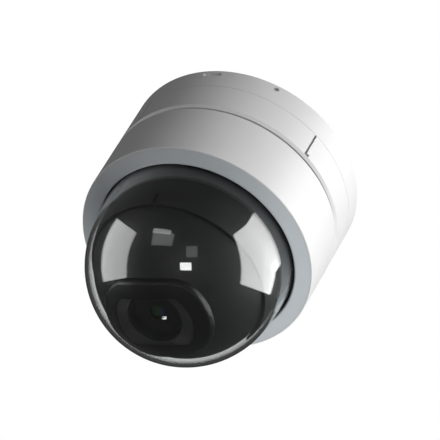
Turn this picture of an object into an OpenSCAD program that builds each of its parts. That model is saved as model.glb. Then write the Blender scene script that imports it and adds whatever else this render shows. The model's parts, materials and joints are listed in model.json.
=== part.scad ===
// Compact ceiling camera. A clear dome covers an eyeball head that pans and tilts.
// Depths are measured down from the ceiling face, so a depth d lies at z = -d.
// Azimuths are measured round the vertical axis from +X. The head tilts towards -Y.

/* [Body] */
// Outer radius of the white body
body_r = 56; // [56:0.5:58]
// Depth of the parting line below the ceiling
part_d = 12.4; // [12:0.2:13]
// Depth where the open groove starts
groove_d = 28.9; // [28.5:0.1:29]
// Height of the open groove
groove_h = 2.2; // [1.8:0.2:2.4]
// Depth of the outer edge of the front ring
edge_d = 62.7; // [62.5:0.1:63]
// Depth of the inner edge of the front ring
lip_d = 64.2; // [64:0.1:64.6]
// Radius of the opening in the front ring
lip_r = 47.7; // [47.5:0.1:48]
// Wall of the white shells
shell_w = 2.4; // [2:0.1:2.4]

/* [Dome] */
// Outer radius of the clear dome
dome_r = 46.1; // [46:0.1:46.3]
// Wall of the clear dome
dome_w = 1.7; // [1.6:0.05:1.75]
// Radius of the dome's skirt at its foot, wider than the dome for the draft
skirt_r = 47.6; // [47.4:0.05:47.6]
// Depth of the centre shared by the dome and the eyeball
head_d = 76.2; // [76.1:0.1:76.3]

/* [Head] */
// Outer radius of the eyeball
ball_r = 42.1; // [41.9:0.1:42.2]
// Wall of the eyeball shells
ball_w = 1.8; // [1.6:0.1:2]
// Radius of the sphere that the front of the lens hood lies on
hood_rho = 44; // [43.7:0.1:44]
// Distance from the lens axis forward to the centre of the hood's round ends
hood_shift = 1.5; // [1.3:0.1:1.7]
// Radius of the round ends of the lens hood
hood_r = 25.5; // [25.3:0.1:25.7]
// Distance from the lens axis to the straight rear edge of the hood
hood_rear = 20.3; // [20:0.1:20.5]
// Distance from the lens axis to the straight front edge of the hood
hood_front = 24.3; // [24:0.1:24.5]
// How squarely the hood's ends meet its straight edges
hood_square = 9; // [7:1:12]
// Radius of the round ends of the window
window_r = 18.1; // [18:0.1:18.3]
// Distance from the lens axis to the rear edge of the window
window_rear = 11.4; // [11.2:0.1:11.6]
// Distance from the lens axis to the front edge of the window
window_front = 14.9; // [14.6:0.1:15]
// Radius of the lens barrel
barrel_r = 12.8; // [12.7:0.1:12.9]

/* [Shroud] */
// Distance that the shroud reaches below the eyeball's centre
shroud_low = 11.9; // [11.6:0.1:12.2]
// Gap between the eyeball and the shroud
shroud_gap = 0.35; // [0.3:0.05:0.4]
// Wall of the shroud
shroud_w = 1.05; // [0.9:0.05:1.1]
// Half width of the slot that the hood swings through
slot_x = 26.2; // [26:0.1:26.6]

/* [Drive] */
// Teeth on the pan gear
pan_teeth = 72; // [72:1:72]
// Teeth on the tilt gear
tilt_teeth = 40; // [40:1:40]
// Teeth on each motor pinion
pinion_teeth = 12; // [12:1:12]
// Gear module of the pan pair
pan_m = 0.8; // [0.8:0.1:0.8]
// Gear module of the tilt pair
tilt_m = 0.6; // [0.6:0.1:0.6]

/* [Hidden] */

fine = 128;
coarse = 32;
rim_gap = 0.4;            // gap between the rim of the base and the ceiling
hairline = 0.15;          // width of the parting line
inner_r = body_r - shell_w;
cover_d = groove_d + groove_h;

plate_h = 2;
plate_r = 50.3;
plate_hole_r = 19;
screw_ring_r = 36;
screw_hole_r = 2.25;
lock_az = 122.5;
lock_d = 3;
hook_in = 44;
hook_out = 47;
hook_foot_out = 49.6;
hook_half = 7;            // half angle of a bayonet hook
twist = 20;               // angle of the twist lock
floor_top = 10.4;
foot_top = 12.7;
foot_h = 1.2;

well_x = 30;
well_y = 40;
well_w = 1.6;
well_d = 24.8;

chassis_r = 53.4;
chassis_w = 2.2;
deck_top = 26.9;
deck_bottom = 28.6;
board_top = 15;
board_h = 1.6;
board_r = 47.5;
board_low = board_top + board_h;
board_screw_ring = 46;
board_screw_r = 1;
race_r = 18;              // outside of the pan bearing
race_top = 27.7;
race_low = 31;
reset_x = 24;

dome_in = dome_r - dome_w;
skirt_in = skirt_r - dome_w;
flange_r = 48.9;
flange_top = 58.4;
flange_low = 60.8;
face_d = 61.6;            // inside face of the front ring
ring_r = body_r - 0.75;
cover_in = body_r - 2.2;
boss_r = 1.9;
boss_ring_r = 51.3;
clamp_top = 56;

pan_pitch = pan_teeth * pan_m / 2;
pan_pinion_pitch = pinion_teeth * pan_m / 2;
tilt_pitch = tilt_teeth * tilt_m / 2;
tilt_pinion_pitch = pinion_teeth * tilt_m / 2;
mesh_gap = 0.12;
pan_reach = pan_pitch + pan_pinion_pitch + mesh_gap;
tilt_reach = tilt_pitch + tilt_pinion_pitch + mesh_gap;
gear_top = 29.2;
gear_low = 31.4;
pan_motor_az = 180;

frame_in = 38.6;
frame_out = 42.3;
frame_up = 44.7;          // top of the pan frame above the eyeball's centre
frame_low = 17.5;         // bottom of the pan frame above the eyeball's centre
frame_roof = 42.6;
shroud_up = 21;
shroud_in = ball_r + shroud_gap;
shroud_out = shroud_in + shroud_w;
slot_up = 27.5;
shroud_screw_z = 19;      // height of the shroud's screws above the eyeball's centre
shroud_screw_r = 0.7;

axle_r = 2.5;
bush_gap = 0.05;
bush_r = 4.5;
axle_tip = 34;
axle_end = 43.3;
gear_x = 28;
gear_w = 3;
split_z = 6;              // joint between the eyeball's two shells, above its centre
pane_z = -39.3;
face_z = -38.9;           // front face of the lens barrel
glass_r = 3.9;
rod_ring_r = 9.3;
rod_r = 0.8;
filter_step = 9;          // travel of the filter slider
filter_r = 3.8;

// ---------- shapes that repeat ----------

// A tube between two depths
module tube(r_out, r_in, top, bottom) {
    translate([0, 0, -bottom])
        difference() {
            cylinder(r = r_out, h = bottom - top, $fn = fine);
            translate([0, 0, -1]) cylinder(r = r_in, h = bottom - top + 2, $fn = fine);
        }
}

// A round plate between two depths
module disc(r, top, bottom) {
    translate([0, 0, -bottom]) cylinder(r = r, h = bottom - top, $fn = fine);
}

// A block between two depths, centred on the vertical axis
module block(x, y, top, bottom) {
    translate([-x / 2, -y / 2, -bottom]) cube([x, y, bottom - top]);
}

// A slice of a ring between two azimuths and two depths
module ring_slice(r_in, r_out, a0, a1, top, bottom) {
    translate([0, 0, -bottom])
        rotate(a0)
            rotate_extrude(angle = a1 - a0, $fn = fine)
                translate([r_in, 0]) square([r_out - r_in, bottom - top]);
}

// Places its children at an azimuth and a radius
module at(azimuth, radius) {
    rotate(azimuth) translate([radius, 0, 0]) children();
}

// Repeats its children round the vertical axis
module around(count, start = 0) {
    for (i = [0 : count - 1]) rotate(start + i * 360 / count) children();
}

// Moves its children to the eyeball's centre
module head() {
    translate([0, 0, -head_d]) children();
}

// Mirrors its children to both ends of the tilt axis
module both_sides() {
    children();
    mirror([1, 0, 0]) children();
}

// A rod along X
module rod_x(r, x0, x1, sides = fine) {
    translate([x0, 0, 0]) rotate([0, 90, 0]) cylinder(r = r, h = x1 - x0, $fn = sides);
}

// A small pan-head screw that points down from z = 0, with a cross recess
module screw(head_r, head_h, shank_r, shank_h) {
    difference() {
        union() {
            cylinder(r = head_r, h = head_h, $fn = coarse);
            translate([0, 0, -shank_h]) cylinder(r = shank_r, h = shank_h, $fn = coarse);
        }
        for (a = [0, 90])
            rotate(a)
                translate([-head_r * 0.6, -head_r * 0.14, head_h * 0.45])
                    cube([head_r * 1.2, head_r * 0.28, head_h]);
    }
}

// Half the angle of an involute tooth at radius r
function tooth_half(n, m, r, slack) =
    let (base = n * m / 2 * cos(20), a = acos(min(1, base / max(r, base))))
    90 / n - slack + (tan(20) - tan(a)) * 180 / PI - (20 - a);

// Outline of a spur gear with one tooth centred on +X
function gear_outline(n, m, slack) =
    let (
        pitch = n * m / 2,
        root = pitch - 1.15 * m,
        steps = [root, pitch - 0.55 * m, pitch, pitch + 0.45 * m, pitch + 0.85 * m],
        last = len(steps) - 1
    )
    [
        for (i = [0 : n - 1], side = [-1, 1], k = [0 : last])
            let (r = side < 0 ? steps[k] : steps[last - k])
            r * [cos(i * 360 / n + side * tooth_half(n, m, r, slack)),
                 sin(i * 360 / n + side * tooth_half(n, m, r, slack))]
    ];

// A spur gear standing on z = 0 with a round bore
module gear(n, m, h, bore_r) {
    difference() {
        linear_extrude(height = h) polygon(gear_outline(n, m, 4 / n));
        translate([0, 0, -1]) cylinder(r = bore_r, h = h + 2, $fn = fine);
    }
}

// A plate with the outline of the window, smaller all round by a gap, between two heights
module window_plate(gap, z0, z1) {
    r = window_r - gap;
    translate([0, 0, z0])
        linear_extrude(height = z1 - z0)
            intersection() {
                translate([0, -hood_shift]) circle(r = r, $fn = fine);
                translate([-r, gap - window_front]) square([2 * r, window_front + window_rear - 2 * gap]);
            }
}

// Outline of the lens hood: a circle with its front and rear drawn in and its corners rounded
function hood_reach(a, grow) =
    let (
        edge = (sin(a) > 0 ? hood_rear + hood_shift : hood_front - hood_shift) + grow,
        side = edge / max(abs(sin(a)), 0.01),
        end = hood_r + grow
    )
    pow(pow(end, -hood_square) + pow(side, -hood_square), -1 / hood_square);

module hood_prism(grow, z0, z1) {
    translate([0, -hood_shift, z0])
        linear_extrude(height = z1 - z0)
            polygon([for (a = [0 : 3.75 : 359]) hood_reach(a, grow) * [cos(a), sin(a)]]);
}

// ---------- ceiling side ----------

module mounting_plate() {
    color("silver") {
        difference() {
            disc(plate_r, 0, plate_h);
            disc(plate_hole_r, -1, plate_h + 1);
            around(4, 45) at(0, screw_ring_r) disc(screw_hole_r, -1, plate_h + 1);
        }
        around(3, 30) {
            ring_slice(hook_in, hook_out, -hook_half, hook_half, plate_h - 0.5, foot_top + foot_h);
            ring_slice(hook_in, hook_foot_out, -hook_half, hook_half, foot_top, foot_top + foot_h);
        }
    }
}

module base_housing() {
    color("whitesmoke")
        difference() {
            union() {
                tube(body_r, inner_r, rim_gap, part_d);
                disc(inner_r + 0.5, floor_top, part_d);
                block(well_x + 2 * well_w, well_y + 2 * well_w, floor_top, well_d + well_w);
                rotate(lock_az) translate([inner_r - 1, -3, -6]) cube([1.5, 6, 5]);
            }
            block(well_x, well_y, floor_top - 1, well_d);
            around(3, 30) {
                ring_slice(hook_in - 0.5, hook_out + 0.5, -twist - 8, 8, floor_top - 1, part_d + 1);
                ring_slice(hook_in - 0.5, hook_foot_out + 0.5, -twist - 8, -twist + 8,
                           floor_top - 1, part_d + 1);
            }
            rotate(lock_az)
                translate([0, 0, -lock_d]) rod_x(1.3, inner_r - 2, body_r + 1, coarse);
            rim_slot();
            translate([reset_x, 0, 0]) disc(1.5, floor_top - 1, part_d + 1);
        }
}

// The small round-ended slot in the rear of the rim
module rim_slot() {
    slot_w = 9.3;
    slot_h = 2.3;
    slot_d = 3.2;
    rotate(90)
        translate([body_r - 1, 0, -slot_d]) {
            translate([0, -slot_w / 2 + slot_h / 2, -slot_h / 2])
                cube([shell_w + 2, slot_w - slot_h, slot_h]);
            for (s = [-1, 1])
                translate([0, s * (slot_w - slot_h) / 2, 0])
                    rod_x(slot_h / 2, 0, shell_w + 2, coarse);
        }
}

module slotted_sleeve() {
    slit_w = 1;
    slit_low = 27.6;
    notch_w = 2;
    notch_h = 1.6;
    chamfer = 1.1;
    color("whitesmoke")
        difference() {
            tube(body_r, inner_r, part_d + hairline, groove_d);
            translate([0, 0, -groove_d])
                rotate_extrude($fn = fine)
                    polygon([[body_r - chamfer, -0.1], [body_r - chamfer, 0], [body_r, chamfer],
                             [body_r + 1, chamfer], [body_r + 1, -0.1]]);
            // The two slits of each half are handed, with their notches turned away from each other
            for (half = [0, 180])
                for (slit = [[57.5, -notch_w], [150, 0]])
                    rotate(half + slit[0])
                        translate([inner_r - 1, 0, -slit_low]) {
                            translate([0, -slit_w / 2, 0]) cube([shell_w + 2, slit_w, slit_low - part_d + 1]);
                            translate([0, slit[1], 0]) cube([shell_w + 2, notch_w, notch_h]);
                        }
        }
}

module chassis() {
    bead_d = 34;
    color("dimgray")
        difference() {
            union() {
                tube(chassis_r, chassis_r - chassis_w, part_d + 0.3, 37);
                tube(chassis_r + 0.5, chassis_r - 1, bead_d - 0.5, bead_d + 0.5);
                disc(chassis_r - 1, deck_top, deck_bottom);
                tube(race_r + 2, race_r, deck_bottom - 0.5, 31.2);
                around(4, 45) at(0, board_screw_ring) disc(2.4, board_low, deck_top + 0.5);
            }
            disc(16.5, deck_top - 1, deck_bottom + 1);
            disc(race_r, race_top, deck_bottom + 1);
            at(pan_motor_az, pan_reach) disc(3.4, deck_top - 1, deck_bottom + 1);
            around(4, 45) at(0, board_screw_ring) disc(board_screw_r, board_low - 1, board_low + 3);
        }
}

module front_cover() {
    fillet = 0.6;
    color("whitesmoke") {
        difference() {
            rotate_extrude($fn = fine)
                polygon(concat(
                    [[cover_in, -cover_d], [body_r - 0.25, -cover_d], [body_r, -cover_d - 0.25]],
                    [for (a = [0 : -15 : -90])
                        [body_r - fillet + fillet * cos(a), -edge_d + fillet + fillet * sin(a)]],
                    [[ring_r, -edge_d], [ring_r, -face_d], [cover_in, -face_d]]
                ));
            tube(chassis_r + 0.8, chassis_r, 33.2, 34.8);
        }
        around(4, 45) at(0, boss_ring_r)
            difference() {
                union() {
                    disc(boss_r, clamp_top + 2.3, face_d);
                    translate([0, -boss_r, 0]) block_from(3, 2 * boss_r, clamp_top + 2.3, face_d);
                }
                disc(0.8, clamp_top, face_d - 0.6);
            }
    }
}

// A block that starts on the vertical axis and runs towards +X
module block_from(x, y, top, bottom) {
    translate([0, 0, -bottom]) cube([x, y, bottom - top]);
}

module front_ring() {
    lip = 0.8;
    outer_z = -edge_d - 0.05;
    color([0.78, 0.82, 0.84])
        rotate_extrude($fn = fine)
            polygon(concat(
                [[ring_r - 0.05, -face_d], [ring_r - 0.05, outer_z]],
                [for (a = [-80 : -20 : -180])
                    [lip_r + lip + lip * cos(a), -lip_d + lip + lip * sin(a)]],
                [[lip_r, -face_d]]
            ));
}

// ---------- dome and its seal ----------

module dome_bubble() {
    color([0.85, 0.9, 0.95, 0.3])
        difference() {
            union() {
                skirt(dome_r, 0);
                disc(flange_r, flange_top, flange_low);
                head() sphere(r = dome_r, $fn = fine);
            }
            disc(body_r + 10, -10, flange_top);
            skirt(dome_in, 1);
            head() sphere(r = dome_in, $fn = fine);
        }
}

// The drafted skirt above the dome, carried on past its foot by extra
module skirt(r_low, extra) {
    tall = head_d - flange_top;
    draft = (skirt_r - dome_r) / tall;
    head() cylinder(r1 = r_low, r2 = r_low + draft * (tall + extra), h = tall + extra, $fn = fine);
}

module dome_gasket() {
    color("black") tube(flange_r, lip_r, flange_low, face_d);
}

module dome_clamp_ring() {
    color([0.08, 0.08, 0.09])
        difference() {
            union() {
                tube(flange_r + 0.2, skirt_in, clamp_top, flange_top);
                around(4, 45) at(0, boss_ring_r - 0.6) disc(2.4, clamp_top, flange_top - 0.1);
            }
            disc(skirt_in, clamp_top - 1, flange_top + 1);
            around(4, 45) at(0, boss_ring_r) disc(1.1, clamp_top - 1, flange_top + 1);
        }
}

module clamp_screws() {
    color("silver")
        around(4, 45) at(0, boss_ring_r) translate([0, 0, -clamp_top]) screw(1.8, 1.4, 0.8, 5);
}

module locking_screw() {
    color("dimgray")
        rotate(lock_az)
            translate([0, 0, -lock_d])
                difference() {
                    rod_x(1.25, plate_r + 0.5, body_r - 0.15, coarse);
                    rod_x(0.45, body_r - 1.5, body_r, 6);
                }
}

// ---------- electronics in the base ----------

module network_socket() {
    socket_x = 16;
    socket_y = 21;
    socket_top = 11.3;
    mouth_x = 12;
    mouth_h = 7.6;
    color("silver")
        translate([0, -well_y / 2 + socket_y / 2, 0])
            difference() {
                block(socket_x, socket_y, socket_top, well_d);
                translate([0, 4, 0]) block(mouth_x, socket_y - 4, socket_top + 2.4, socket_top + 2.4 + mouth_h);
                translate([0, 4, 0]) block(6, socket_y - 4, socket_top + 8, socket_top + 11.4);
            }
}

module main_board() {
    color("darkgreen")
        difference() {
            disc(board_r, board_top, board_low);
            block(well_x + 2 * well_w + 1, well_y + 2 * well_w + 1, board_top - 1, board_low + 1);
            around(4, 45) at(0, board_screw_ring) disc(board_screw_r + 0.1, board_top - 1, board_low + 1);
        }
}

module processor_chip() {
    color([0.1, 0.1, 0.1]) translate([0, 33, 0]) block(13, 13, board_low, board_low + 1.4);
}

module memory_chips() {
    color([0.1, 0.1, 0.1])
        for (s = [-1, 1]) translate([s * 14, 33, 0]) block(8, 11, board_low, board_low + 1.1);
}

module heatsink() {
    fin = 1;
    color("silver")
        translate([0, 33, 0]) {
            block(14, 14, board_low + 1.4, board_low + 3.2);
            for (i = [-3 : 3])
                translate([i * 2.1, 0, 0]) block(fin, 14, board_low + 3, board_low + 8.4);
        }
}

module board_screws() {
    color("silver")
        around(4, 45) at(0, board_screw_ring)
            translate([0, 0, -board_top]) screw(1.9, 0.4, board_screw_r, 4);
}

module reset_switch() {
    color([0.15, 0.15, 0.16])
        translate([reset_x, 0, 0])
            difference() {
                block(5, 5, board_top - 2.2, board_top);
                disc(1.35, board_top - 3, board_top - 0.6);
            }
}

module reset_button() {
    color("firebrick") translate([reset_x, 0, 0]) disc(1.2, floor_top + 0.3, board_top - 1.5);
}

// ---------- pan drive ----------

module pan_motor() {
    color("gray")
        at(pan_motor_az, pan_reach) {
            disc(7, board_low + 0.6, deck_top);
            disc(3.2, deck_top - 0.5, deck_bottom - 0.2);
        }
}

module pan_pinion() {
    color("ivory")
        at(pan_motor_az, pan_reach)
            translate([0, 0, -gear_low]) {
                rotate(180 + 180 / pinion_teeth) gear(pinion_teeth, pan_m, gear_low - gear_top, 1);
                cylinder(r = 1, h = gear_low - gear_top + 0.5, $fn = coarse);
            }
}

module pan_bearing_outer() {
    color("silver")
        difference() {
            tube(race_r, 16, race_top, race_low);
            bearing_track();
        }
}

module pan_bearing_inner() {
    color("silver")
        difference() {
            tube(14.2, 12.2, race_top, race_low);
            bearing_track();
        }
}

// The groove that the balls run in
module bearing_track() {
    rotate_extrude($fn = fine) translate([15.1, -29.35]) circle(r = 1.25, $fn = coarse);
}

module pan_bearing_balls() {
    color("lightgray") around(16) translate([15.1, 0, -29.35]) sphere(r = 1.2, $fn = coarse);
}

module pan_frame() {
    color([0.12, 0.12, 0.13])
        head()
            difference() {
                union() {
                    translate([0, 0, frame_low]) cylinder(r = frame_out, h = frame_up - frame_low, $fn = fine);
                    cylinder(r = 12.2, h = head_d - race_top + 0.2, $fn = fine);
                    translate([0, 0, frame_up - 0.5])
                        cylinder(r = 13.6, h = head_d - race_low - frame_up + 0.5, $fn = fine);
                }
                translate([0, 0, frame_low - 1]) cylinder(r = frame_in, h = frame_roof - frame_low + 1, $fn = fine);
                sphere(r = ball_r + 0.4, $fn = fine);
                cylinder(r = 9, h = head_d, $fn = fine);
                hood_slot();
                shroud_screw_holes();
            }
}

// The four holes that the shroud's screws pass through
module shroud_screw_holes() {
    around(4, 20) translate([0, 0, shroud_screw_z]) rod_x(shroud_screw_r, 30, body_r, coarse);
}

// The slot that the lens hood swings through
module hood_slot() {
    translate([-slot_x, -body_r, -shroud_low - 10]) cube([2 * slot_x, body_r, slot_up + shroud_low + 10]);
}

module pan_gear() {
    color("ivory")
        translate([0, 0, -gear_low])
            rotate(pan_motor_az) gear(pan_teeth, pan_m, gear_low - gear_top, 20.5);
}

module shroud() {
    slit_w = 1.3;
    slit_h = 6.4;
    color([0.03, 0.03, 0.035])
        head()
            difference() {
                union() {
                    intersection() {
                        sphere(r = shroud_out, $fn = fine);
                        translate([0, 0, -shroud_low]) cylinder(r = body_r, h = shroud_low + 0.1, $fn = fine);
                    }
                    cylinder(r = shroud_out, h = shroud_up, $fn = fine);
                }
                sphere(r = shroud_in, $fn = fine);
                cylinder(r = shroud_in, h = shroud_up + 1, $fn = fine);
                hood_slot();
                translate([-slit_w / 2, 0, -shroud_low - 1]) cube([slit_w, body_r, slit_h + 1]);
                both_sides() rod_x(axle_r, 30, body_r);
                shroud_screw_holes();
            }
}

module shroud_screws() {
    color("dimgray")
        head()
            around(4, 20)
                translate([shroud_out, 0, shroud_screw_z])
                    rotate([0, 90, 0]) screw(1.3, 0.4, shroud_screw_r, 2.8);
}

module tilt_axles() {
    color("silver")
        head() {
            rod_x(axle_r, gear_x - 0.5, axle_end);
            rod_x(axle_r, -axle_end, -axle_tip);
        }
}

module tilt_gear() {
    color("ivory")
        head()
            translate([gear_x, 0, 0])
                rotate([0, 90, 0]) rotate(180) gear(tilt_teeth, tilt_m, gear_w, axle_r);
}

// ---------- eyeball ----------

// The hollow sphere between two heights
module ball_shell(z0, z1) {
    difference() {
        intersection() {
            sphere(r = ball_r, $fn = fine);
            translate([0, 0, z0]) cylinder(r = body_r, h = z1 - z0, $fn = fine);
        }
        sphere(r = ball_r - ball_w, $fn = fine);
    }
}

module eyeball_front() {
    color([0.03, 0.03, 0.035])
        head()
            difference() {
                ball_shell(-ball_r - 1, split_z - 0.05);
                hood_prism(0.1, -ball_r - 1, -20);
                both_sides() rod_x(3.2, 30, body_r);
            }
}

module eyeball_rear() {
    color([0.03, 0.03, 0.035]) head() ball_shell(split_z + 0.05, ball_r + 1);
}

module lens_hood() {
    seat_z = -31;
    color([0.03, 0.03, 0.035])
        head()
            difference() {
                intersection() {
                    sphere(r = hood_rho, $fn = fine);
                    hood_prism(0, -hood_rho, seat_z);
                }
                sphere(r = ball_r - ball_w, $fn = fine);
                window_plate(0, -hood_rho - 1, seat_z + 1);
                translate([0, 0, face_z - 0.1]) cylinder(r = barrel_r + 0.1, h = 10, $fn = fine);
            }
}

module window_pane() {
    color([0.06, 0.03, 0.04])
        head()
            difference() {
                intersection() {
                    window_plate(0.05, pane_z, pane_z + 1.5);
                    sphere(r = hood_rho - 0.2, $fn = fine);
                }
                translate([0, 0, -ball_r]) cylinder(r = barrel_r + 0.1, h = 20, $fn = fine);
            }
}

module lens_barrel() {
    color([0.04, 0.04, 0.045])
        head()
            rotate_extrude($fn = fine)
                polygon([
                    [glass_r, -35.2], [11.3, -35.6], [11.5, -38], [12, -38], [12, -38.4], [12.4, -38.4],
                    [12.4, face_z], [barrel_r, face_z], [barrel_r, -8], [11, -8], [11, -33.6],
                    [glass_r, -33.6]
                ]);
}

module front_lens() {
    color([0.3, 0.45, 0.4])
        head()
            intersection() {
                translate([0, 0, -36]) cylinder(r = glass_r - 0.02, h = 2.4, $fn = fine);
                translate([0, 0, -29]) sphere(r = 6.6, $fn = fine);
            }
}

module lamp_board() {
    color("darkgreen")
        head()
            difference() {
                window_plate(0.3, -36.2, -35.2);
                translate([0, 0, -ball_r]) cylinder(r = barrel_r + 0.2, h = 20, $fn = fine);
            }
}

module infrared_lamps() {
    color([0.7, 0.7, 0.6])
        head()
            both_sides()
                for (y = [-3, 3])
                    translate([15.3, y - hood_shift, -37.2]) {
                        cylinder(r = 1.3, h = 1, $fn = coarse);
                        sphere(r = 0.5, $fn = coarse);
                    }
}

// The frame inside the eyeball that holds the lens and turns on the axles
module lens_carrier() {
    bar_top = -15;
    bar_low = -19;
    cheek_x = 32.3;
    color([0.2, 0.2, 0.22])
        head()
            difference() {
                union() {
                    translate([0, 0, bar_low]) cylinder(r = 15, h = bar_top - bar_low, $fn = fine);
                    translate([-34.5, -5, bar_low]) cube([69, 10, bar_top - bar_low]);
                    both_sides() {
                        translate([cheek_x, -5, bar_low]) cube([2.2, 10, -bar_low]);
                        rod_x(6.5, cheek_x, 38.6);
                    }
                    translate([26, -7, bar_low]) cube([1.3, 14, tilt_reach - bar_low + 6]);
                }
                translate([0, 0, -30]) cylinder(r = barrel_r + 0.02, h = 40, $fn = fine);
                both_sides() rod_x(bush_r, cheek_x - 1, 40);
                rod_x(3, 20, 30);
                translate([0, 0, tilt_reach]) rod_x(2, 20, 30);
            }
}

module tilt_bushes() {
    color("goldenrod")
        head()
            both_sides()
                difference() {
                    rod_x(bush_r, 33, 38.6);
                    rod_x(axle_r + bush_gap, 30, 40);
                }
}

module tilt_motor() {
    color("gray") head() translate([0, 0, tilt_reach]) rod_x(6, 14.5, 26);
}

module tilt_pinion() {
    color("ivory")
        head()
            translate([gear_x, 0, tilt_reach])
                rotate([0, 90, 0]) {
                    rotate(180 / pinion_teeth) gear(pinion_teeth, tilt_m, gear_w, 1);
                    translate([0, 0, -1.6]) cylinder(r = 1, h = gear_w + 1.6, $fn = coarse);
                }
}

// ---------- lens groups inside the barrel ----------

// A moving ring that carries one lens and slides on the guide rods
module lens_cell(z0, h, lens_r) {
    difference() {
        translate([0, 0, z0]) cylinder(r = 10.6, h = h, $fn = fine);
        translate([0, 0, z0 - 1]) cylinder(r = lens_r, h = h + 2, $fn = fine);
        both_sides() translate([rod_ring_r, 0, z0 - 1]) cylinder(r = rod_r + 0.05, h = h + 2, $fn = coarse);
    }
}

// A lens with two convex faces, as wide as its cell's bore
module lens_glass(z_mid, lens_r, bulge_r, half_h) {
    intersection() {
        translate([0, 0, z_mid - half_h]) cylinder(r = lens_r, h = 2 * half_h, $fn = fine);
        translate([0, 0, z_mid - half_h + bulge_r]) sphere(r = bulge_r, $fn = fine);
        translate([0, 0, z_mid + half_h - bulge_r]) sphere(r = bulge_r, $fn = fine);
    }
}

module guide_rods() {
    color("silver")
        head()
            both_sides() translate([rod_ring_r, 0, -33.6]) cylinder(r = rod_r, h = 25.6, $fn = coarse);
}

module zoom_cell() {
    color([0.15, 0.15, 0.16]) head() lens_cell(-32, 5, 6.5);
}

module zoom_lens() {
    color([0.6, 0.7, 0.8]) head() lens_glass(-29.5, 6.5, 14, 2.2);
}

module focus_cell() {
    color([0.15, 0.15, 0.16]) head() lens_cell(-16.5, 4, 5.5);
}

module focus_lens() {
    color([0.6, 0.7, 0.8]) head() lens_glass(-14.5, 5.5, 14, 1.8);
}

module filter_frame() {
    color([0.12, 0.12, 0.13])
        head()
            difference() {
                translate([-14.5, -8, -8]) cube([29, 16, 4]);
                translate([-15, -5.2, -6.6]) cube([30, 10.4, 1.2]);
                translate([0, 0, -9]) cylinder(r = filter_r + 0.2, h = 6, $fn = fine);
            }
}

module filter_slider() {
    color([0.25, 0.25, 0.27])
        head()
            difference() {
                translate([-4.9, -4.9, -6.4]) cube([filter_step + 9.8, 9.8, 0.8]);
                for (x = [0, filter_step])
                    translate([x, 0, -9]) cylinder(r = filter_r, h = 6, $fn = fine);
            }
}

module cut_filter() {
    color([0.3, 0.6, 0.7]) head() translate([0, 0, -6.3]) cylinder(r = filter_r, h = 0.6, $fn = fine);
}

module image_sensor() {
    color([0.2, 0.2, 0.3]) head() translate([-4, -3.5, -2.6]) cube([8, 7, 1.2]);
}

module sensor_board() {
    color("darkgreen") head() translate([0, 0, -1.4]) cylinder(r = 12.5, h = 1.4, $fn = fine);
}

mounting_plate();
base_housing();
slotted_sleeve();
chassis();
front_cover();
front_ring();
dome_bubble();
dome_gasket();
dome_clamp_ring();
clamp_screws();
locking_screw();
network_socket();
main_board();
processor_chip();
memory_chips();
heatsink();
board_screws();
reset_switch();
reset_button();
pan_motor();
pan_pinion();
pan_bearing_outer();
pan_bearing_balls();
pan_bearing_inner();
pan_frame();
pan_gear();
shroud();
shroud_screws();
tilt_axles();
tilt_gear();
eyeball_front();
eyeball_rear();
lens_hood();
window_pane();
lens_barrel();
front_lens();
lamp_board();
infrared_lamps();
lens_carrier();
tilt_bushes();
tilt_motor();
tilt_pinion();
guide_rods();
zoom_cell();
zoom_lens();
focus_cell();
focus_lens();
filter_frame();
filter_slider();
cut_filter();
image_sensor();
sensor_board();
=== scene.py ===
"""Looks of a compact ceiling dome camera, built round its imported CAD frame."""
import json
import math

import bmesh
import bpy
from mathutils import Matrix, Vector


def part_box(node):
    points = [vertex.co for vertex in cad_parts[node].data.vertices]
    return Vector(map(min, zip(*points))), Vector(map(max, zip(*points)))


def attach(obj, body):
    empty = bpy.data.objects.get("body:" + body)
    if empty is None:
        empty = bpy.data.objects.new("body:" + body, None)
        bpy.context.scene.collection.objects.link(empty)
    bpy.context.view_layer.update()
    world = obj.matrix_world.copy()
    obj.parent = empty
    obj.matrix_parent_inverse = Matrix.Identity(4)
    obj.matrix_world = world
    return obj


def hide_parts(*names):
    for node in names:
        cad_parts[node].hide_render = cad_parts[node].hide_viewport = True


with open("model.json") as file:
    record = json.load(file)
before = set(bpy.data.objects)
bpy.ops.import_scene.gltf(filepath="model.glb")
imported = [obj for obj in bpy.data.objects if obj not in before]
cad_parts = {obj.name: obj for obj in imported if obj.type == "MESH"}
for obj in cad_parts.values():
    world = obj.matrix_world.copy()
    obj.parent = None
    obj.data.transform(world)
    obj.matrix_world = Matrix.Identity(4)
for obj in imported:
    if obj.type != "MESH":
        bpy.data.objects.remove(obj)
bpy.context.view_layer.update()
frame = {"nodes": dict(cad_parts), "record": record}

MM = 0.001


# ---------------------------------------------------------------- driving sizes

DOME_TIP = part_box("dome_bubble")[0].z
DOME_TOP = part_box("dome_bubble")[1].z
FLANGE_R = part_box("dome_bubble")[1].x
FLANGE_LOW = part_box("dome_gasket")[1].z
DOME_R = 46.1 * MM            # outer radius of the clear dome
DOME_W = 1.7 * MM             # wall of the clear dome
DRAFT = 4.2                   # draft of the dome's skirt, degrees
DOME_STEPS = 96               # steps along the dome's section, from its tip to its skirt
TURN_STEPS = 256              # steps round the dome
HEAD = Vector((0, 0, DOME_TIP + DOME_R))


# ---------------------------------------------------------------- material helpers

NOISE_LOW = 0.3               # a noise value hardly goes below this
NOISE_HIGH = 0.7              # nor above this


def material(name):
    """A new node material, its tree, its Principled shader and its output."""
    mat = bpy.data.materials.new(name)
    mat.use_nodes = True
    tree = mat.node_tree
    shader = tree.nodes["Principled BSDF"]
    return mat, tree, shader, tree.nodes["Material Output"]


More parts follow.
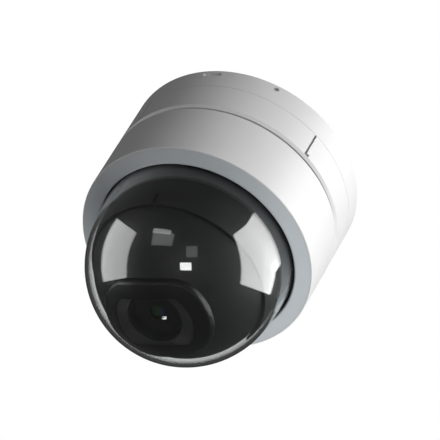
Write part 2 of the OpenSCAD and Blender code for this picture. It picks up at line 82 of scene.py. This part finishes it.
def texture(tree, kind, scale, detail=3.0, stretch=None):
    """A noise or voronoi texture node that reads object coordinates, in cells per metre."""
    place = tree.nodes.new("ShaderNodeTexCoord")
    source = place.outputs["Object"]
    if stretch:
        mapping = tree.nodes.new("ShaderNodeMapping")
        mapping.inputs["Scale"].default_value = stretch
        tree.links.new(source, mapping.inputs["Vector"])
        source = mapping.outputs["Vector"]
    node = tree.nodes.new("ShaderNodeTexNoise" if kind == "noise" else "ShaderNodeTexVoronoi")
    node.inputs["Scale"].default_value = scale
    if kind == "noise":
        node.inputs["Detail"].default_value = detail
    tree.links.new(source, node.inputs["Vector"])
    return node


def tint(colour, factor):
    """A lighter or darker opaque colour."""
    return tuple(min(1, c * factor) for c in colour) + (1,)


def ramp(tree, source, stops):
    """A colour ramp on a value. Each stop is (place, grey level or colour), in order of place."""
    node = tree.nodes.new("ShaderNodeValToRGB")
    elements = node.color_ramp.elements
    for element, (place, value) in zip((elements[0], elements[1]), (stops[0], stops[-1])):
        element.position = place
        element.color = value if isinstance(value, tuple) else (value, value, value, 1)
    for place, value in stops[1:-1]:
        element = elements.new(place)
        element.color = value if isinstance(value, tuple) else (value, value, value, 1)
    tree.links.new(source, node.inputs["Fac"])
    return node.outputs["Color"]


def vary(tree, noise, low, high, socket):
    """Lets a noise texture vary a socket between two grey levels or colours."""
    tree.links.new(ramp(tree, noise.outputs["Fac"], [(NOISE_LOW, low), (NOISE_HIGH, high)]), socket)


def bump(tree, shader, source, strength, depth):
    """Surface relief from a value, depth in metres."""
    node = tree.nodes.new("ShaderNodeBump")
    node.inputs["Strength"].default_value = strength
    node.inputs["Distance"].default_value = depth
    tree.links.new(source, node.inputs["Height"])
    tree.links.new(node.outputs["Normal"], shader.inputs["Normal"])


def moulded(name, colour, spread=0.04, rough=(0.4, 0.5), grain=4500, depth=0.02, specular=0.5):
    """Moulded plastic: spark-eroded grain (cells per metre, depth in mm), faint clouding and uneven gloss."""
    mat, tree, shader, _ = material(name)
    cloud = texture(tree, "noise", 60)
    vary(tree, cloud, tint(colour, 1 - spread), tint(colour, 1 + spread), shader.inputs["Base Color"])
    fine = texture(tree, "noise", grain, detail=2)
    vary(tree, fine, rough[0], rough[1], shader.inputs["Roughness"])
    bump(tree, shader, fine.outputs["Fac"], 0.6, depth * MM)
    shader.inputs["Specular IOR Level"].default_value = specular
    return mat


def metal(name, colour, rough=(0.25, 0.4), brushed=None, spread=0.08):
    """Bare metal with fine tool marks, drawn out along one axis where it is brushed."""
    mat, tree, shader, _ = material(name)
    marks = texture(tree, "noise", 900, detail=4, stretch=brushed)
    vary(tree, marks, tint(colour, 1 - spread), tint(colour, 1), shader.inputs["Base Color"])
    vary(tree, marks, rough[0], rough[1], shader.inputs["Roughness"])
    bump(tree, shader, marks.outputs["Fac"], 0.3, 0.02 * MM)
    shader.inputs["Metallic"].default_value = 1.0
    return mat


def clear(name, colour, ior):
    """Clear polycarbonate or glass. Its shadow is a pale even tint, so that the lamps shine through it."""
    mat, tree, shader, output = material(name)
    shader.inputs["Roughness"].default_value = 0.0
    shader.inputs["Base Color"].default_value = colour
    shader.inputs["Transmission Weight"].default_value = 1.0
    shader.inputs["IOR"].default_value = ior
    light_path = tree.nodes.new("ShaderNodeLightPath")
    through = tree.nodes.new("ShaderNodeBsdfTransparent")
    through.inputs["Color"].default_value = (0.93, 0.93, 0.93, 1)
    mix = tree.nodes.new("ShaderNodeMixShader")
    tree.links.new(light_path.outputs["Is Shadow Ray"], mix.inputs["Fac"])
    tree.links.new(shader.outputs["BSDF"], mix.inputs[1])
    tree.links.new(through.outputs["BSDF"], mix.inputs[2])
    tree.links.new(mix.outputs["Shader"], output.inputs["Surface"])
    return mat


def coated_with_painted_sheen(name):
    """Dark lens glass whose base colour runs from blue to green across it: a painted reflection of the
    coating's tint, laid on the dark glass.
    """
    mat, tree, shader, _ = material(name)
    place = tree.nodes.new("ShaderNodeTexCoord")
    split = tree.nodes.new("ShaderNodeSeparateXYZ")
    tree.links.new(place.outputs["Generated"], split.inputs["Vector"])
    # painted reflection: the coating's coloured sheen, put into the base colour as a blue-to-green sweep
    blue = (0.02, 0.028, 0.05, 1)
    green = (0.02, 0.038, 0.018, 1)
    dull = (0.02, 0.028, 0.016, 1)
    colours = ramp(tree, split.outputs["X"], [(0.2, blue), (0.55, green), (1.0, dull)])
    tree.links.new(colours, shader.inputs["Base Color"])
    shader.inputs["Roughness"].default_value = 0.06
    return mat


def circuit(name):
    """Green solder mask with copper tracks under it."""
    mat, tree, shader, _ = material(name)
    tracks = texture(tree, "voronoi", 260, stretch=(1, 1, 0.05))
    tracks.feature = "DISTANCE_TO_EDGE"
    track = (0.02, 0.15, 0.07, 1)
    rim = (0.01, 0.08, 0.04, 1)
    mask = (0.012, 0.1, 0.05, 1)
    colours = ramp(tree, tracks.outputs["Distance"], [(0.02, track), (0.05, rim), (1.0, mask)])
    tree.links.new(colours, shader.inputs["Base Color"])
    bump(tree, shader, tracks.outputs["Distance"], 0.2, 0.03 * MM)
    shader.inputs["Roughness"].default_value = 0.35
    return mat


MATERIALS = {
    "white_plastic": moulded("white_plastic", (0.74, 0.74, 0.74), 0.015, (0.42, 0.52), depth=0.012),
    "ring_plastic": moulded("ring_plastic", (0.66, 0.71, 0.74), 0.015, (0.42, 0.52), depth=0.012),
    "black_plastic": moulded("black_plastic", (0.007, 0.0076, 0.0072), 0.2, (0.46, 0.54),
                             depth=0.006, specular=0.32),
    "hood_plastic": moulded("hood_plastic", (0.002, 0.0022, 0.0021), 0.2, (0.34, 0.4), depth=0.006),
    "grey_plastic": moulded("grey_plastic", (0.06, 0.06, 0.063), 0.1, (0.5, 0.6)),
    "seal_rubber": moulded("seal_rubber", (0.02, 0.02, 0.02), 0.2, (0.7, 0.85)),
    "chip_black": moulded("chip_black", (0.02, 0.02, 0.022), 0.2, (0.55, 0.7)),
    "gear_nylon": moulded("gear_nylon", (0.72, 0.69, 0.6), 0.05, (0.4, 0.5)),
    "motor_can": metal("motor_can", (0.45, 0.45, 0.47), (0.3, 0.45)),
    "screw_grey": moulded("screw_grey", (0.3, 0.3, 0.3), 0.05, (0.4, 0.5)),
    "steel": metal("steel", (0.58, 0.58, 0.59), (0.2, 0.35)),
    "zinc_sheet": metal("zinc_sheet", (0.62, 0.63, 0.65), (0.3, 0.5), brushed=(1, 0.15, 1), spread=0.2),
    "aluminium": metal("aluminium", (0.78, 0.78, 0.8), (0.3, 0.42), brushed=(1, 0.1, 1)),
    "bush_bronze": metal("bush_bronze", (0.6, 0.4, 0.16), (0.3, 0.45)),
    "circuit_board": circuit("circuit_board"),
    "smoked_pane": moulded("smoked_pane", (0.02, 0.021, 0.02), 0.6, (0.35, 0.5), grain=2600, depth=0.04),
    "lens_glass": coated_with_painted_sheen("lens_glass"),
    "clear_dome": clear("clear_dome", (0.97, 0.985, 0.98, 1), 1.585),
    "filter_glass": clear("filter_glass", (0.4, 0.8, 0.85, 1), 1.5),
    "lamp_clear": moulded("lamp_clear", (0.6, 0.6, 0.5), 0.1, (0.1, 0.2)),
    "button_red": moulded("button_red", (0.4, 0.02, 0.02), 0.1, (0.3, 0.4)),
    "sensor_die": moulded("sensor_die", (0.06, 0.05, 0.12), 0.3, (0.1, 0.2)),
}


# ---------------------------------------------------------------- mesh helpers

def add(name, mesh, body, slot, replaced):
    """Puts a finished mesh in the scene on its body, with its material slot, instead of a CAD node."""
    obj = bpy.data.objects.new(name, mesh)
    bpy.context.scene.collection.objects.link(obj)
    mesh.materials.append(MATERIALS[slot])
    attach(obj, body)
    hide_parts(replaced)


def to_mesh(bm, name):
    """The mesh of a finished bmesh, with its normals outward."""
    bmesh.ops.recalc_face_normals(bm, faces=bm.faces)
    mesh = bpy.data.meshes.new(name)
    bm.to_mesh(mesh)
    bm.free()
    return mesh


def sharpen(mesh, degrees=35):
    """Smooth shading that keeps the edges sharper than an angle."""
    mesh.shade_smooth()
    mesh.set_sharp_from_angle(angle=math.radians(degrees))


def arc(centre_r, centre_z, radius, start, end, steps):
    """Points (r, z) along an arc, angles in degrees from the horizontal."""
    return [
        (centre_r + radius * math.cos(math.radians(start + (end - start) * i / steps)),
         centre_z + radius * math.sin(math.radians(start + (end - start) * i / steps)))
        for i in range(steps + 1)
    ]


def lathe(name, profile, segments):
    """Turns a closed outline of (r, z) points round the Z axis. Points on the axis become one vertex."""
    bm = bmesh.new()
    turn = 2 * math.pi / segments
    rings = []
    for r, z in profile:
        if r == 0:
            rings.append([bm.verts.new((0, 0, z))])
        else:
            rings.append([bm.verts.new((r * math.cos(turn * i), r * math.sin(turn * i), z))
                          for i in range(segments)])
    for k in range(len(rings)):
        a, b = rings[k], rings[(k + 1) % len(rings)]
        for i in range(segments):
            j = (i + 1) % segments
            face = []
            for v in (a[i % len(a)], a[j % len(a)], b[j % len(b)], b[i % len(b)]):
                if v not in face:
                    face.append(v)
            if len(face) > 2:
                bm.faces.new(face)
    return to_mesh(bm, name)


# ---------------------------------------------------------------- the clear dome

def dome():
    """The bubble: a hemisphere and a short drafted skirt of even wall, with its hidden flange."""
    z = HEAD.z
    inner = DOME_R - DOME_W
    slope = math.radians(DRAFT)

    def skirt(radius, height):
        """Radius of the skirt at a height, where it runs on from a sphere of a radius."""
        return radius * math.cos(slope) + math.tan(slope) * (height - z + radius * math.sin(slope))

    outside = arc(0, z, DOME_R, -90, -DRAFT, DOME_STEPS)
    flange = [(skirt(DOME_R, FLANGE_LOW), FLANGE_LOW), (FLANGE_R, FLANGE_LOW),
              (FLANGE_R, DOME_TOP), (skirt(inner, DOME_TOP), DOME_TOP)]
    inside = arc(0, z, inner, -DRAFT, -90, DOME_STEPS)
    # The outline starts and ends exactly on the axis.
    outside[0] = (0, outside[0][1])
    inside[-1] = (0, inside[-1][1])
    mesh = lathe("dome_shell", outside + flange + inside, TURN_STEPS)
    sharpen(mesh)
    add("dome_shell", mesh, "camera_base", "clear_dome", "dome_bubble")


dome()


# ---------------------------------------------------------------- the lens hood

HOOD_RHO = 44 * MM            # sphere that the front of the hood lies on
HOOD_SHIFT = 1.5 * MM         # the centre of the round ends lies this far ahead of the lens axis
HOOD_R = 25.5 * MM            # radius of the round ends
HOOD_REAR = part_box("lens_hood")[1].y + HOOD_SHIFT
HOOD_FRONT = -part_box("lens_hood")[0].y - HOOD_SHIFT
HOOD_SQUARE = 9               # how squarely the ends meet the straight edges
HOOD_SEAT = 31 * MM           # depth of the outer wall's foot below the eyeball's centre
HOOD_EDGE = 0.15 * MM         # rounding of the chamfer's inner edge
HOOD_CHAMFER = 1.0 * MM       # width of the chamfer round the face
HOOD_STEPS = 288              # sections round the hood
FACE_STEPS = 8                # steps across the face, from the chamfer to the window
WINDOW_R = 18.1 * MM          # radius of the window's round ends
WINDOW_REAR = 12.9 * MM       # from the centre to the window's rear edge
WINDOW_FRONT = 13.4 * MM      # and to its front edge
WINDOW_SQUARE = 24            # how squarely the window's ends meet its straight edges
WINDOW_EDGE = 0.3 * MM        # rounding of the window's edge
WINDOW_WALL = 1.6 * MM        # thickness of the wall round the window, behind the face
FACE_WALL = 1.2 * MM          # thickness of the face beside the window's wall
PANE_DEPTH = 39 * MM          # depth where the window's wall ends behind the pane
LEAST_SINE = 0.01             # least sine of an angle, so that no distance runs off to infinity
MERGE = 1e-7                  # vertices closer than this become one, metres


def reach(angle, end, rear, front, square):
    """Distance from the centre to a round outline with its front and rear drawn in."""
    side = (rear if math.sin(angle) > 0 else front) / max(abs(math.sin(angle)), LEAST_SINE)
    return (end ** -square + side ** -square) ** (-1 / square)


def hood_section(angle):
    """The hood's section at an angle: (distance from the centre, depth below the eyeball's centre)."""
    outer = reach(angle, HOOD_R, HOOD_REAR, HOOD_FRONT, HOOD_SQUARE)
    window = reach(angle, WINDOW_R, WINDOW_REAR, WINDOW_FRONT, WINDOW_SQUARE)

    def face_depth(r):
        """Depth of the hood's round face at a distance from the centre."""
        x, y = r * math.cos(angle), r * math.sin(angle) - HOOD_SHIFT
        return math.sqrt(HOOD_RHO ** 2 - x * x - y * y)

    def rounded(edge, inward, size, turns):
        """Points of an edge's rounding, at each turn from the edge to the face."""
        points = []
        for turn in turns:
            r = edge + inward * size * (1 - math.cos(turn))
            points.append((r, face_depth(r) - size * (1 - math.sin(turn))))
        return points

    quarter = [math.radians(15 * i) for i in range(7)]      # 0 to 90 degrees
    chamfer_end = outer - HOOD_CHAMFER
    face_end = window + WINDOW_EDGE
    points = [(outer, HOOD_SEAT), (outer, face_depth(outer) - HOOD_CHAMFER)]
    points += rounded(chamfer_end + HOOD_EDGE, -1, HOOD_EDGE, quarter[3:])
    for i in range(1, FACE_STEPS):
        r = chamfer_end + (face_end - chamfer_end) * i / FACE_STEPS
        points.append((r, face_depth(r)))
    points += rounded(window, 1, WINDOW_EDGE, quarter[::-2])
    behind = window + WINDOW_WALL
    return points + [(window, PANE_DEPTH), (behind, face_depth(behind) - FACE_WALL)]


def hood():
    """The raised frame round the window, with a chamfer and rounded edges."""
    bm = bmesh.new()
    columns = []
    for k in range(HOOD_STEPS):
        angle = 2 * math.pi * k / HOOD_STEPS
        columns.append([bm.verts.new((r * math.cos(angle), r * math.sin(angle) - HOOD_SHIFT, HEAD.z - depth))
                        for r, depth in hood_section(angle)])
    for k in range(HOOD_STEPS):
        here, there = columns[k], columns[(k + 1) % HOOD_STEPS]
        for i in range(len(here)):
            j = (i + 1) % len(here)
            bm.faces.new((here[i], here[j], there[j], there[i]))
    bmesh.ops.remove_doubles(bm, verts=bm.verts, dist=MERGE)
    mesh = to_mesh(bm, "hood")
    sharpen(mesh, 40)
    add("hood_frame", mesh, "eyeball", "hood_plastic", "lens_hood")


hood()


# ---------------------------------------------------------------- carried-over CAD nodes

def dress_nodes():
    """Gives each CAD node its material and smooth shading that keeps its edges."""
    slots = {s["node"]: s["material_slot"] for s in frame["record"]["subparts"]}
    for name, obj in frame["nodes"].items():
        obj.data.materials.clear()
        obj.data.materials.append(MATERIALS[slots[name]])
        sharpen(obj.data)


dress_nodes()


# ---------------------------------------------------------------- camera

CAMERA_AZ = 129.05            # azimuth that the camera stands at, degrees from +X
CAMERA_EL = -47.84            # it looks up from below
CAMERA_ROLL = 31.14           # turn about the view direction, clockwise in the picture
CAMERA_D = 2.24               # distance to the plane of the front ring's edge, metres
CLIP_END = 50                 # the camera sees this far, metres
AIM_RIGHT = 10.7 * MM         # how far right of the ring's centre the camera aims
AIM_UP = 13.16 * MM           # how far above the ring's centre the camera aims
SENSOR = 36                   # sensor width, mm
LENS = 401.9                  # focal length, mm
RING_EDGE = Vector((0, 0, -62.7 * MM))    # the front ring's lower edge, on the pan axis


def view_axes():
    """Right, up and ahead of the camera, in the row frame."""
    az, el, roll = (math.radians(a) for a in (CAMERA_AZ, CAMERA_EL, CAMERA_ROLL))
    ahead = -Vector((math.cos(el) * math.cos(az), math.cos(el) * math.sin(az), math.sin(el)))
    level = ahead.cross(Vector((0, 0, 1))).normalized()
    upright = level.cross(ahead)
    right = level * math.cos(roll) + upright * math.sin(roll)
    return right, right.cross(ahead), ahead


RIGHT, UP, AHEAD = view_axes()


def frame_matrix(x_axis, y_axis, z_axis, place):
    """A world matrix from three axes and a place."""
    return Matrix((
        (x_axis.x, y_axis.x, z_axis.x, place.x),
        (x_axis.y, y_axis.y, z_axis.y, place.y),
        (x_axis.z, y_axis.z, z_axis.z, place.z),
        (0, 0, 0, 1),
    ))


def camera():
    """A long lens below the object, at the reference angle."""
    data = bpy.data.cameras.new("camera")
    data.lens = LENS
    data.sensor_width = SENSOR
    data.clip_end = CLIP_END
    cam = bpy.data.objects.new("camera", data)
    bpy.context.scene.collection.objects.link(cam)
    place = RING_EDGE + RIGHT * AIM_RIGHT + UP * AIM_UP - AHEAD * CAMERA_D
    cam.matrix_world = frame_matrix(RIGHT, UP, -AHEAD, place)
    bpy.context.scene.camera = cam


camera()


# ---------------------------------------------------------------- surroundings and floor

AMBIENT = 0.15                # strength of the surroundings on diffuse surfaces
GLOSS_AMBIENT = 0.01          # strength of the surroundings in reflections
WALL_AMBIENT = 0.08           # the same for rays that turn back inside the dome's wall
FLOOR_HALF = 6.0              # half the floor's width, metres
FLOOR_Z = -2.6                # the floor lies this far below the ceiling, metres


def math_node(tree, operation, first, second):
    """A maths node on two sockets or numbers."""
    node = tree.nodes.new("ShaderNodeMath")
    node.operation = operation
    for socket, value in zip(node.inputs, (first, second)):
        if isinstance(value, (int, float)):
            socket.default_value = value
        else:
            tree.links.new(value, socket)
    return node.outputs["Value"]


def mix_level(tree, factor, low, high):
    """A level between two others, each a socket or a number."""
    kept = math_node(tree, "MULTIPLY", math_node(tree, "SUBTRACT", 1.0, factor), low)
    return math_node(tree, "ADD", kept, math_node(tree, "MULTIPLY", factor, high))


def surroundings():
    """White all round: full strength to the camera, and dim for rays that have bounced."""
    world = bpy.data.worlds.new("world")
    bpy.context.scene.world = world
    world.use_nodes = True
    tree = world.node_tree
    background = tree.nodes["Background"]
    background.inputs["Color"].default_value = (1, 1, 1, 1)
    path = tree.nodes.new("ShaderNodeLightPath")
    glossy = math_node(tree, "MINIMUM", path.outputs["Glossy Depth"], 1.0)
    diffuse = math_node(tree, "MINIMUM", path.outputs["Diffuse Depth"], 1.0)
    in_wall = math_node(tree, "COMPARE", path.outputs["Transmission Depth"], 2.0)
    source = mix_level(tree, glossy, 1.0, mix_level(tree, in_wall, GLOSS_AMBIENT, WALL_AMBIENT))
    source = mix_level(tree, diffuse, source, AMBIENT)
    tree.links.new(source, background.inputs["Strength"])
    bpy.context.scene.view_settings.view_transform = "Standard"


def floor():
    """A pale floor far below, out of the main view. Reflections and bounced light skip it."""
    corners = [(-FLOOR_HALF, -FLOOR_HALF, FLOOR_Z), (FLOOR_HALF, -FLOOR_HALF, FLOOR_Z),
               (FLOOR_HALF, FLOOR_HALF, FLOOR_Z), (-FLOOR_HALF, FLOOR_HALF, FLOOR_Z)]
    mesh = bpy.data.meshes.new("floor")
    mesh.from_pydata(corners, [], [(0, 1, 2, 3)])
    obj = bpy.data.objects.new("floor", mesh)
    bpy.context.scene.collection.objects.link(obj)
    mat, tree, shader, _ = material("floor")
    vary(tree, texture(tree, "noise", 3), 0.78, 0.82, shader.inputs["Base Color"])
    shader.inputs["Roughness"].default_value = 0.8
    mesh.materials.append(mat)
    obj.visible_glossy = False
    obj.visible_diffuse = False
    obj.visible_transmission = False


surroundings()
floor()


# ---------------------------------------------------------------- light panels

STEEP = 0.9                   # a panel more upright than this takes its side from RIGHT, not UP

# Name, way to it from the eyeball (right, up, towards the camera), distance, width and height in
# metres, and radiance. Gloss panels show in reflections, and soft panels light the surfaces.
GLOSS_PANELS = (
    ("left_gloss", (-0.982, 0.203, -0.01), 1.2, 0.91, 1.0, 2.75),
    ("right_gloss", (1.0, 0.14, -0.07), 1.2, 1.32, 1.2, 4.7),
    ("front_gloss", (0.0, 0.0, 1.0), 2.0, 0.44, 0.3, 9.0),
    ("upper_gloss", (-0.42, 0.5, 0.756), 1.2, 0.5, 0.3, 0.8),
    ("upper_edge", (-0.42, 0.62, 0.66), 1.15, 0.4, 0.1, 2.0),
    ("middle_gloss", (0.116, 0.285, 0.95), 1.2, 0.26, 0.26, 0.6),
    ("glint", (-0.346, -0.837, 0.411), 1.2, 0.085, 0.06, 7.0),
)
SOFT_PANELS = (
    ("key_soft", (0.83, 0.1, 0.55), 1.2, 1.0, 1.0, 4.75),
    ("ring_soft", (0.27, -0.91, -0.14), 1.2, 1.0, 1.0, 3.7),
    ("fill_soft", (-0.95, -0.1, -0.3), 1.2, 1.0, 1.0, 0.3),
)


def panel(name, way, distance, width, height, radiance, in_gloss):
    """A rectangular light that faces the eyeball, seen in gloss only or lighting surfaces only."""
    back = (RIGHT * way[0] + UP * way[1] - AHEAD * way[2]).normalized()
    side = (UP if abs(way[1]) < STEEP else RIGHT).cross(back).normalized()
    data = bpy.data.lights.new(name, "AREA")
    data.shape = "RECTANGLE"
    data.size = width
    data.size_y = height
    data.energy = radiance * math.pi * width * height
    lamp = bpy.data.objects.new(name, data)
    bpy.context.scene.collection.objects.link(lamp)
    lamp.matrix_world = frame_matrix(side, back.cross(side), back, HEAD + back * distance)
    lamp.visible_diffuse = not in_gloss
    lamp.visible_glossy = in_gloss
    lamp.visible_transmission = in_gloss
    lamp.visible_camera = False


for row in GLOSS_PANELS:
    panel(*row, in_gloss=True)
for row in SOFT_PANELS:
    panel(*row, in_gloss=False)
